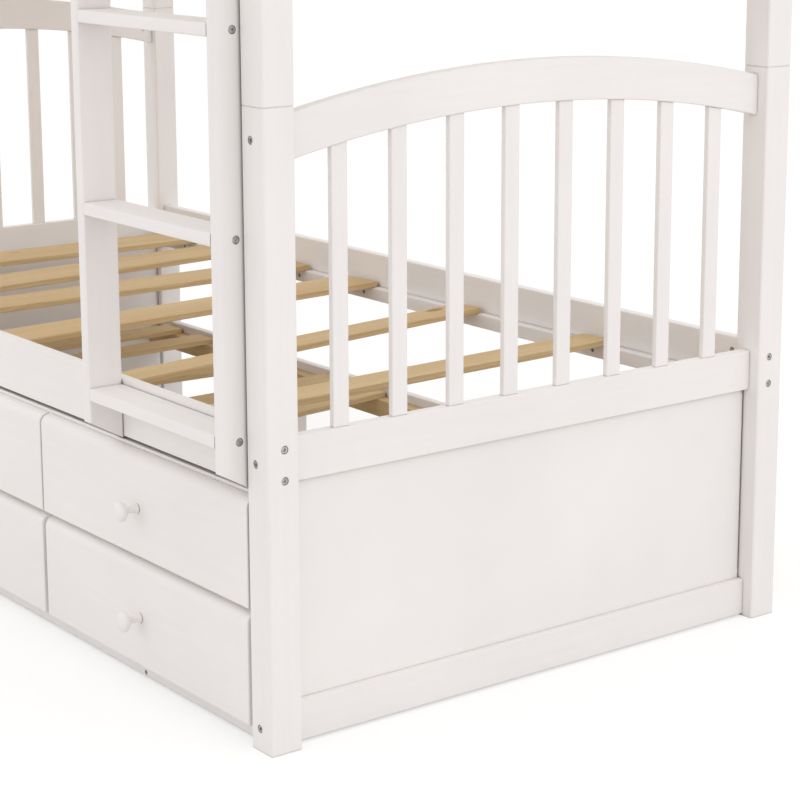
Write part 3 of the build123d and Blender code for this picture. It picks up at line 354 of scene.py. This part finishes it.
def bare_pine(name, light=PINE_LIGHT, deep=PINE_DEEP):
    """Planed pine: rings about a pith beside the board, streaks along it and a few knots."""
    material, tree, out = new_material(name)
    links = tree.links
    place = node(tree, "Attribute", attribute_name="board_point").outputs["Vector"]

    spread = node(tree, "Mapping", Scale=(9.0, 3.2, 9.0))
    links.new(place, spread.inputs["Vector"])
    cells = node(tree, "TexVoronoi", Scale=1.0, Randomness=0.9)
    links.new(spread.outputs[0], cells.inputs["Vector"])
    pick = node(tree, "SeparateColor")
    links.new(cells.outputs["Color"], pick.inputs[0])
    chosen = node(tree, "Math", operation="GREATER_THAN")
    chosen.inputs[1].default_value = 0.62
    links.new(pick.outputs[0], chosen.inputs[0])
    knot = node(tree, "MapRange", interpolation_type="SMOOTHSTEP")
    knot.inputs["From Min"].default_value = 0.10
    knot.inputs["From Max"].default_value = 0.045
    links.new(cells.outputs["Distance"], knot.inputs["Value"])
    knot_here = node(tree, "Math", operation="MULTIPLY")
    links.new(knot.outputs[0], knot_here.inputs[0])
    links.new(chosen.outputs[0], knot_here.inputs[1])
    swirl = node(tree, "MapRange", interpolation_type="SMOOTHSTEP")
    swirl.inputs["From Min"].default_value = 0.42
    swirl.inputs["From Max"].default_value = 0.0
    swirl.inputs["To Max"].default_value = 0.012
    links.new(cells.outputs["Distance"], swirl.inputs["Value"])
    swirl_here = node(tree, "Math", operation="MULTIPLY")
    links.new(swirl.outputs[0], swirl_here.inputs[0])
    links.new(chosen.outputs[0], swirl_here.inputs[1])

    drift_scale = node(tree, "Mapping", Scale=(7.0, 1.3, 7.0))
    links.new(place, drift_scale.inputs["Vector"])
    drift = node(tree, "TexNoise", Scale=1.0, Detail=3.0, Roughness=0.5)
    links.new(drift_scale.outputs[0], drift.inputs["Vector"])
    axes = node(tree, "SeparateXYZ")
    links.new(place, axes.inputs[0])
    flat = node(tree, "CombineXYZ")
    links.new(axes.outputs["X"], flat.inputs["X"])
    links.new(axes.outputs["Z"], flat.inputs["Y"])
    wrapped = node(tree, "VectorMath", operation="MODULO")
    wrapped.inputs[1].default_value = (0.5, 0.5, 0.5)
    links.new(flat.outputs[0], wrapped.inputs[0])
    reach = node(tree, "VectorMath", operation="LENGTH")
    links.new(wrapped.outputs[0], reach.inputs[0])
    wander = node(tree, "Math", operation="MULTIPLY_ADD")
    wander.inputs[1].default_value = 0.034
    links.new(drift.outputs["Fac"], wander.inputs[0])
    links.new(reach.outputs["Value"], wander.inputs[2])
    bent = node(tree, "Math", operation="ADD")
    links.new(wander.outputs[0], bent.inputs[0])
    links.new(swirl_here.outputs[0], bent.inputs[1])
    count = node(tree, "Math", operation="MULTIPLY")
    count.inputs[1].default_value = 210.0
    links.new(bent.outputs[0], count.inputs[0])
    ring = node(tree, "Math", operation="FRACT")
    links.new(count.outputs[0], ring.inputs[0])
    late = node(tree, "ValToRGB")
    late.color_ramp.elements[0].position = 0.0
    late.color_ramp.elements[0].color = (0.05, 0.05, 0.05, 1)
    late.color_ramp.elements[1].position = 0.80
    late.color_ramp.elements[1].color = (0.85, 0.85, 0.85, 1)
    last = late.color_ramp.elements.new(1.0)
    last.color = (0.05, 0.05, 0.05, 1)
    links.new(ring.outputs[0], late.inputs["Fac"])

    streak_scale = node(tree, "Mapping", Scale=(130.0, 3.5, 130.0))
    links.new(place, streak_scale.inputs["Vector"])
    streak = node(tree, "TexNoise", Scale=1.0, Detail=5.0, Roughness=0.65)
    links.new(streak_scale.outputs[0], streak.inputs["Vector"])
    broad_scale = node(tree, "Mapping", Scale=(16.0, 0.9, 16.0))
    links.new(place, broad_scale.inputs["Vector"])
    broad = node(tree, "TexNoise", Scale=1.0, Detail=2.0)
    links.new(broad_scale.outputs[0], broad.inputs["Vector"])
    grain = node(tree, "Mix", data_type="FLOAT")
    grain.inputs["Factor"].default_value = 0.5
    links.new(late.outputs["Color"], grain.inputs[2])
    links.new(streak.outputs["Fac"], grain.inputs[3])
    depth = node(tree, "Mix", data_type="FLOAT")
    depth.inputs["Factor"].default_value = 0.45
    links.new(grain.outputs[0], depth.inputs[2])
    links.new(broad.outputs["Fac"], depth.inputs[3])

    tone = node(tree, "ValToRGB")
    tone.color_ramp.elements[0].position = 0.25
    tone.color_ramp.elements[0].color = light + (1,)
    tone.color_ramp.elements[1].position = 0.72
    tone.color_ramp.elements[1].color = deep + (1,)
    links.new(depth.outputs[0], tone.inputs["Fac"])
    knotted = node(tree, "Mix", data_type="RGBA")
    knotted.inputs[7].default_value = PINE_KNOT + (1,)
    soften = node(tree, "Math", operation="MULTIPLY")
    soften.inputs[1].default_value = 0.7
    links.new(knot_here.outputs[0], soften.inputs[0])
    links.new(soften.outputs[0], knotted.inputs["Factor"])
    links.new(tone.outputs["Color"], knotted.inputs[6])

    rough = node(tree, "MapRange")
    rough.inputs["To Min"].default_value = 0.52
    rough.inputs["To Max"].default_value = 0.74
    links.new(grain.outputs[0], rough.inputs["Value"])
    relief = node(tree, "Bump", Strength=0.4, Distance=0.0005)
    links.new(grain.outputs[0], relief.inputs["Height"])
    shader = node(tree, "BsdfPrincipled")
    shader.inputs["Specular IOR Level"].default_value = 0.25
    links.new(knotted.outputs[2], shader.inputs["Base Color"])
    links.new(rough.outputs[0], shader.inputs["Roughness"])
    links.new(relief.outputs[0], shader.inputs["Normal"])
    links.new(shader.outputs[0], out.inputs[0])
    return material


def add_board(mesh, points, size, turn, ease, shift):
    """Adds one eased board to a bmesh and keeps each vertex's place in its own board, for the grain."""
    board = bmesh.new()
    bmesh.ops.create_cube(board, size=1.0)
    bmesh.ops.scale(board, vec=size, verts=board.verts)
    bmesh.ops.bevel(
        board, geom=board.edges[:], offset=ease, segments=3, profile=0.5, affect="EDGES", clamp_overlap=True,
    )
    made = {}
    for corner in board.verts:
        fresh = mesh.verts.new(turn @ corner.co)
        fresh[points] = corner.co + Vector(shift)
        made[corner] = fresh
    for face in board.faces:
        added = mesh.faces.new([made[corner] for corner in face.verts])
        added.smooth = True
    board.free()


def pine_boards(name, boards, ease, seed, material):
    """One object of boards, each given as (centre, size across-along-through, turn about Z in degrees)."""
    dice = random.Random(seed)
    work = bmesh.new()
    points = work.verts.layers.float_vector.new("board_point")
    for centre, size, skew in boards:
        turn = Matrix.Translation(centre) @ Matrix.Rotation(math.radians(skew), 4, "Z")
        shift = (0.06 + 0.5 * dice.randint(1, 40) + 0.05 * dice.random(), 11.0 * dice.random(),
                 0.05 + 0.5 * dice.randint(1, 40) + 0.02 * dice.random())
        add_board(work, points, size, turn, ease, shift)
    data = bpy.data.meshes.new(name)
    work.to_mesh(data)
    work.free()
    data.materials.append(material)
    piece = bpy.data.objects.new(name, data)
    scene.collection.objects.link(piece)
    weighted = piece.modifiers.new("even_normals", "WEIGHTED_NORMAL")
    weighted.keep_sharp = True
    return piece


MIDDLE = 0.020
DECK_SEAT = 0.425
BUNK_LIFT = 0.820
SLAT_THICKNESS = 0.012
SLAT_EASE = 0.0016
DECK_SLAT_LENGTH = 0.970
DECK_SLATS = [
    (0.912, 1.2, 0.070), (0.627, 2.7, 0.070), (0.297, 8.1, 0.066), (-0.104, 4.5, 0.106),
    (-0.384, 1.0, 0.104), (-0.606, 5.3, 0.120), (-0.860, -0.6, 0.120),
]


def slat_boards(places, middle_y, length, seat):
    """The boards of one loose deck, lying on their cleats."""
    return [
        ((x, middle_y, seat + SLAT_THICKNESS / 2), (width, length, SLAT_THICKNESS), skew)
        for x, skew, width in places
    ]


pine = bare_pine("bare_pine")
lower_slats = pine_boards(
    "lower_slat_boards", slat_boards(DECK_SLATS, MIDDLE, DECK_SLAT_LENGTH, DECK_SEAT), SLAT_EASE, 7, pine)
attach(lower_slats, "frame")
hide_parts("lower_deck_slats")


# Upper bunk: posts on dowels over the lower ones, with the same end frames, side rails, cleats and
# loose slats again, one post length higher.
finish_cad(white_upright, "upper_posts_front", "upper_posts_back", "upper_end_slats")
finish_cad(white_crosswise, "upper_arch_rails", "upper_cross_rails")
finish_cad(white_lengthwise, "upper_side_rail_front", "upper_side_rail_back", "upper_deck_cleats")
upper_slats = pine_boards(
    "upper_slat_boards", slat_boards(DECK_SLATS, MIDDLE, DECK_SLAT_LENGTH, DECK_SEAT + BUNK_LIFT),
    SLAT_EASE, 19, pine)
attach(upper_slats, "frame")
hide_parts("upper_deck_slats")


# Dowels between lower and upper posts: fluted beech pins, hidden once the posts are together.
DOWEL_RADIUS = 0.005
DOWEL_HALF = 0.035
DOWEL_FLUTES = 12
FLUTE_DEPTH = 0.0004
FLUTE_STEPS = 4
DOWEL_TAPER = 0.0015
DOWEL_TIP = 0.8
DOWEL_RINGS = [
    (-DOWEL_HALF, DOWEL_TIP), (-DOWEL_HALF + DOWEL_TAPER, 1.0),
    (DOWEL_HALF - DOWEL_TAPER, 1.0), (DOWEL_HALF, DOWEL_TIP),
]
POST_MIDDLES = [(x, y) for x in (-0.9975, 0.9975) for y in (-0.486, 0.526)]
SEAM_HEIGHT = 0.968


def on_circle(radius, step, steps, along):
    """A point on a ring about Z, one step of many round from X."""
    angle = 2 * math.pi * step / steps
    return (radius * math.cos(angle), radius * math.sin(angle), along)


def ringed_body(mesh, rings, turn, layer=None, shift=(0, 0, 0)):
    """Skins closed rings of points one after another and closes both ends."""
    rows = []
    for ring in rings:
        row = []
        for point in ring:
            fresh = mesh.verts.new(turn @ Vector(point))
            if layer is not None:
                fresh[layer] = Vector((point[0], point[2], point[1])) + Vector(shift)
            row.append(fresh)
        rows.append(row)
    size = len(rows[0])
    for low, high in zip(rows, rows[1:]):
        for i in range(size):
            j = (i + 1) % size
            face = mesh.faces.new((low[i], low[j], high[j], high[i]))
            face.smooth = True
    mesh.faces.new(list(reversed(rows[0])))
    mesh.faces.new(rows[-1])


dowel_mesh = bmesh.new()
dowel_points = dowel_mesh.verts.layers.float_vector.new("board_point")
for number, (x, y) in enumerate(POST_MIDDLES):
    rings = []
    for height, share in DOWEL_RINGS:
        ring = []
        for i in range(FLUTE_STEPS * DOWEL_FLUTES):
            radius = share * (DOWEL_RADIUS - (FLUTE_DEPTH if i % FLUTE_STEPS == 0 else 0.0))
            ring.append(on_circle(radius, i, FLUTE_STEPS * DOWEL_FLUTES, height))
        rings.append(ring)
    ringed_body(dowel_mesh, rings, Matrix.Translation((x, y, SEAM_HEIGHT)), dowel_points, (3.1, number, 4.2))
dowel_data = bpy.data.meshes.new("fluted_dowels")
dowel_mesh.to_mesh(dowel_data)
dowel_mesh.free()
dowel_data.materials.append(pine)
dowels = bpy.data.objects.new("fluted_dowels", dowel_data)
scene.collection.objects.link(dowels)
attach(dowels, "frame")
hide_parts("post_dowels")


# Ladder: two painted stiles bolted to both front side rails, with four flat rungs bolted between.
finish_cad(white_upright, "ladder_stile_right", "ladder_stile_left")
finish_cad(white_lengthwise, "ladder_rungs")
finish_cad(bolt_steel, "ladder_bolts")


# Guard rails: two boards a side inside short uprights, screwed to the upper side rails.
finish_cad(white_lengthwise, "guard_rail_front", "guard_rail_back")
finish_cad(screw_steel, "guard_screws")


# Trundle case: painted ends, rails and dividers, with a raw pine cleat inside front and back and eight
# loose pine slats over them.
finish_cad(
    white_lengthwise,
    "trundle_back_rail", "trundle_front_rail", "trundle_bottom_rail",
)
finish_cad(white_crosswise, "trundle_ends", "trundle_dividers")
finish_cad(screw_steel, "trundle_screws")
TRUNDLE_SLATS = [
    (0.790, -2.0, 0.066), (0.520, 2.5, 0.066), (0.270, -3.0, 0.066), (0.013, 7.0, 0.066),
    (-0.190, 1.0, 0.066), (-0.440, -3.0, 0.066), (-0.700, 2.0, 0.066), (-0.870, -1.5, 0.066),
]
TRUNDLE_MIDDLE = -0.001
TRUNDLE_SLAT_LENGTH = 0.938
TRUNDLE_SEAT = 0.205
trundle_slats = pine_boards(
    "trundle_slat_boards", slat_boards(TRUNDLE_SLATS, TRUNDLE_MIDDLE, TRUNDLE_SLAT_LENGTH, TRUNDLE_SEAT),
    SLAT_EASE, 31, pine)
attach(trundle_slats, "trundle")
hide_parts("trundle_slats")


def solid_pine(name, light, deep):
    """Bare pine on CAD pieces that run along the bed: streaks along X with softened cloudiness."""
    material, tree, out = new_material(name)
    links = tree.links
    place = node(tree, "TexCoord").outputs["Object"]
    streak_scale = node(tree, "Mapping", Scale=(3.0, 120.0, 120.0))
    links.new(place, streak_scale.inputs["Vector"])
    streak = node(tree, "TexNoise", Scale=1.0, Detail=5.0, Roughness=0.65)
    links.new(streak_scale.outputs[0], streak.inputs["Vector"])
    broad_scale = node(tree, "Mapping", Scale=(1.1, 22.0, 22.0))
    links.new(place, broad_scale.inputs["Vector"])
    broad = node(tree, "TexNoise", Scale=1.0, Detail=3.0)
    links.new(broad_scale.outputs[0], broad.inputs["Vector"])
    grain = node(tree, "Mix", data_type="FLOAT")
    grain.inputs["Factor"].default_value = 0.5
    links.new(streak.outputs["Fac"], grain.inputs[2])
    links.new(broad.outputs["Fac"], grain.inputs[3])
    tone = node(tree, "ValToRGB")
    tone.color_ramp.elements[0].position = 0.34
    tone.color_ramp.elements[0].color = light + (1,)
    tone.color_ramp.elements[1].position = 0.68
    tone.color_ramp.elements[1].color = deep + (1,)
    links.new(grain.outputs[0], tone.inputs["Fac"])
    rough = node(tree, "MapRange")
    rough.inputs["To Min"].default_value = 0.55
    rough.inputs["To Max"].default_value = 0.75
    links.new(streak.outputs["Fac"], rough.inputs["Value"])
    relief = node(tree, "Bump", Strength=0.4, Distance=0.0005)
    links.new(streak.outputs["Fac"], relief.inputs["Height"])
    shader = node(tree, "BsdfPrincipled")
    shader.inputs["Specular IOR Level"].default_value = 0.25
    links.new(tone.outputs["Color"], shader.inputs["Base Color"])
    links.new(rough.outputs[0], shader.inputs["Roughness"])
    links.new(relief.outputs[0], shader.inputs["Normal"])
    links.new(shader.outputs[0], out.inputs[0])
    return material


finish_cad(solid_pine("cleat_pine", PINE_LIGHT, PINE_DEEP), "trundle_cleats", "drawer_runners")


# Drawer fronts and dummy fronts: boards with a big quarter round along the top, painted white; the
# upper row is fixed to the case and the lower row is on the drawers.
finish_cad(white_lengthwise, "trundle_fronts", "drawer_front_1", "drawer_front_2", "drawer_front_3")


# Knobs: turned beech, a waisted neck under a round domed head, painted with the fronts and screwed on
# from behind.
FRONT_FACE = -0.5135
FIXED_KNOB_HEIGHT = 0.2965
DRAWER_KNOB_HEIGHT = 0.113
KNOB_SEGMENTS = 48
KNOB_PROFILE = [
    (0.0, 0.0076), (0.0008, 0.0080), (0.0018, 0.0077), (0.0040, 0.0066), (0.0080, 0.0057), (0.0125, 0.0054),
    (0.0165, 0.0057), (0.0195, 0.0066), (0.0215, 0.0082), (0.0230, 0.0106), (0.0246, 0.0132),
    (0.0268, 0.0155), (0.0292, 0.0166), (0.0316, 0.0169), (0.0336, 0.0165), (0.0354, 0.0152),
    (0.0370, 0.0128), (0.0381, 0.0096), (0.0387, 0.0058), (0.0389, 0.0020),
]
COLUMN_MIDDLES = [-0.645, 0.0, 0.645]


def turned(mesh, profile, turn, segments):
    """Adds a lathe-turned form to a bmesh: profile is (distance along Z, radius), closed at both ends."""
    rings = [
        [on_circle(radius, i, segments, along) for i in range(segments)]
        for along, radius in profile
    ]
    ringed_body(mesh, rings, turn)


def turned_piece(name, profile, turns, segments, material):
    """One object of like turned forms in one finish."""
    work = bmesh.new()
    for turn in turns:
        turned(work, profile, turn, segments)
    data = bpy.data.meshes.new(name)
    work.to_mesh(data)
    work.free()
    data.materials.append(material)
    piece = bpy.data.objects.new(name, data)
    scene.collection.objects.link(piece)
    return piece


def knob_turn(x, z):
    """Stands a knob's lathe axis out of a front at one place."""
    return Matrix.Translation((x, FRONT_FACE, z)) @ Matrix.Rotation(math.radians(90), 4, "X")


white_knob = satin_white("white_paint_knob", "Y", telegraph=0.5)
fixed_knobs = turned_piece(
    "fixed_front_knobs", KNOB_PROFILE, [knob_turn(x, FIXED_KNOB_HEIGHT) for x in COLUMN_MIDDLES],
    KNOB_SEGMENTS, white_knob)
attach(fixed_knobs, "trundle")
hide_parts("trundle_knobs")
for number, x in enumerate(COLUMN_MIDDLES, 1):
    knob = turned_piece(
        f"turned_knob_{number}", KNOB_PROFILE, [knob_turn(x, DRAWER_KNOB_HEIGHT)], KNOB_SEGMENTS,
        white_knob)
    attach(knob, f"drawer_{number}")
    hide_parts(f"drawer_knob_{number}")


# Drawer boxes: pale melamine faced board with a thin bottom, stapled and glued.
def faced_board(name, colour):
    """Pale faced board with a fine printed fleck."""
    material, tree, out = new_material(name)
    links = tree.links
    place = node(tree, "TexCoord").outputs["Object"]
    stretched = node(tree, "Mapping", Scale=(140.0, 9.0, 140.0))
    links.new(place, stretched.inputs["Vector"])
    fleck = node(tree, "TexNoise", Scale=1.0, Detail=6.0, Roughness=0.7)
    links.new(stretched.outputs[0], fleck.inputs["Vector"])
    tone = node(tree, "ValToRGB")
    tone.color_ramp.elements[0].position = 0.34
    tone.color_ramp.elements[0].color = tuple(0.86 * c for c in colour) + (1,)
    tone.color_ramp.elements[1].position = 0.62
    tone.color_ramp.elements[1].color = colour + (1,)
    links.new(fleck.outputs["Fac"], tone.inputs["Fac"])
    rough = node(tree, "MapRange")
    rough.inputs["To Min"].default_value = 0.42
    rough.inputs["To Max"].default_value = 0.6
    links.new(fleck.outputs["Fac"], rough.inputs["Value"])
    relief = node(tree, "Bump", Strength=0.15, Distance=0.0002)
    links.new(fleck.outputs["Fac"], relief.inputs["Height"])
    shader = node(tree, "BsdfPrincipled")
    links.new(tone.outputs["Color"], shader.inputs["Base Color"])
    links.new(rough.outputs[0], shader.inputs["Roughness"])
    links.new(relief.outputs[0], shader.inputs["Normal"])
    links.new(shader.outputs[0], out.inputs[0])
    return material


finish_cad(faced_board("faced_board", (0.72, 0.66, 0.57)), "drawer_box_1", "drawer_box_2", "drawer_box_3")


# Casters: pressed steel forks screwed under the case's ends and dividers, each with a moulded wheel
# that has a crowned tread and a dished hub, on a riveted axle.
finish_cad(plated_steel("caster_steel", (0.50, 0.50, 0.49), 0.34), "caster_forks", "caster_axles")
CASTER_XS = [-0.950, -0.3225, 0.3225, 0.950]
CASTER_YS = {"front": -0.4305, "back": 0.4285}
WHEEL_RADIUS = 0.020
BORE_RADIUS = 0.00258
HUB_HALF = 0.0055
WHEEL_SEGMENTS = 48
WHEEL_PROFILE = [
    (-0.0055, 0.0034), (-0.0055, 0.0052), (-0.0068, 0.0060), (-0.0070, 0.0072), (-0.0056, 0.0082),
    (-0.0052, 0.0120), (-0.0064, 0.0138), (-0.0078, 0.0150), (-0.0079, 0.0172), (-0.0066, 0.0190),
    (-0.0044, 0.0198), (-0.0016, 0.0200), (0.0016, 0.0200), (0.0044, 0.0198), (0.0066, 0.0190),
    (0.0079, 0.0172), (0.0078, 0.0150), (0.0064, 0.0138), (0.0052, 0.0120), (0.0056, 0.0082),
    (0.0070, 0.0072), (0.0068, 0.0060), (0.0055, 0.0052), (0.0055, 0.0034),
]


def bored_wheel(mesh, turn, segments):
    """Adds one wheel with its bore: the profile's two ends join along the bore."""
    rows = []
    profile = [(-HUB_HALF, BORE_RADIUS)] + WHEEL_PROFILE + [(HUB_HALF, BORE_RADIUS)]
    for along, radius in profile:
        rows.append([
            mesh.verts.new(turn @ Vector(on_circle(radius, i, segments, along))) for i in range(segments)
        ])
    for low, high in zip(rows, rows[1:] + rows[:1]):
        for i in range(segments):
            j = (i + 1) % segments
            face = mesh.faces.new((low[i], low[j], high[j], high[i]))
            face.smooth = True


def moulded_plastic(name, colour):
    """Dark moulded nylon with scuffs and a fine moulded skin."""
    material, tree, out = new_material(name)
    links = tree.links
    place = node(tree, "TexCoord").outputs["Object"]
    scuff = node(tree, "TexNoise", Scale=180.0, Detail=5.0, Roughness=0.65)
    links.new(place, scuff.inputs["Vector"])
    skin = node(tree, "TexNoise", Scale=1500.0, Detail=2.0)
    links.new(place, skin.inputs["Vector"])
    tone = node(tree, "ValToRGB")
    tone.color_ramp.elements[0].position = 0.40
    tone.color_ramp.elements[0].color = colour + (1,)
    tone.color_ramp.elements[1].position = 0.75
    tone.color_ramp.elements[1].color = tuple(2.2 * c for c in colour) + (1,)
    links.new(scuff.outputs["Fac"], tone.inputs["Fac"])
    rough = node(tree, "MapRange")
    rough.inputs["To Min"].default_value = 0.36
    rough.inputs["To Max"].default_value = 0.62
    links.new(scuff.outputs["Fac"], rough.inputs["Value"])
    relief = node(tree, "Bump", Strength=0.2, Distance=0.0001)
    links.new(skin.outputs["Fac"], relief.inputs["Height"])
    shader = node(tree, "BsdfPrincipled")
    links.new(tone.outputs["Color"], shader.inputs["Base Color"])
    links.new(rough.outputs[0], shader.inputs["Roughness"])
    links.new(relief.outputs[0], shader.inputs["Normal"])
    links.new(shader.outputs[0], out.inputs[0])
    return material


nylon = moulded_plastic("moulded_nylon", (0.030, 0.030, 0.032))
for line, y in CASTER_YS.items():
    work = bmesh.new()
    for x in CASTER_XS:
        axle = Matrix.Translation((x, y, WHEEL_RADIUS)) @ Matrix.Rotation(math.radians(90), 4, "Y")
        bored_wheel(work, axle, WHEEL_SEGMENTS)
    data = bpy.data.meshes.new(f"{line}_wheels")
    work.to_mesh(data)
    work.free()
    data.materials.append(nylon)
    wheels = bpy.data.objects.new(f"{line}_wheels", data)
    scene.collection.objects.link(wheels)
    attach(wheels, f"{line}_casters")
    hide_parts(f"{line}_caster_wheels")
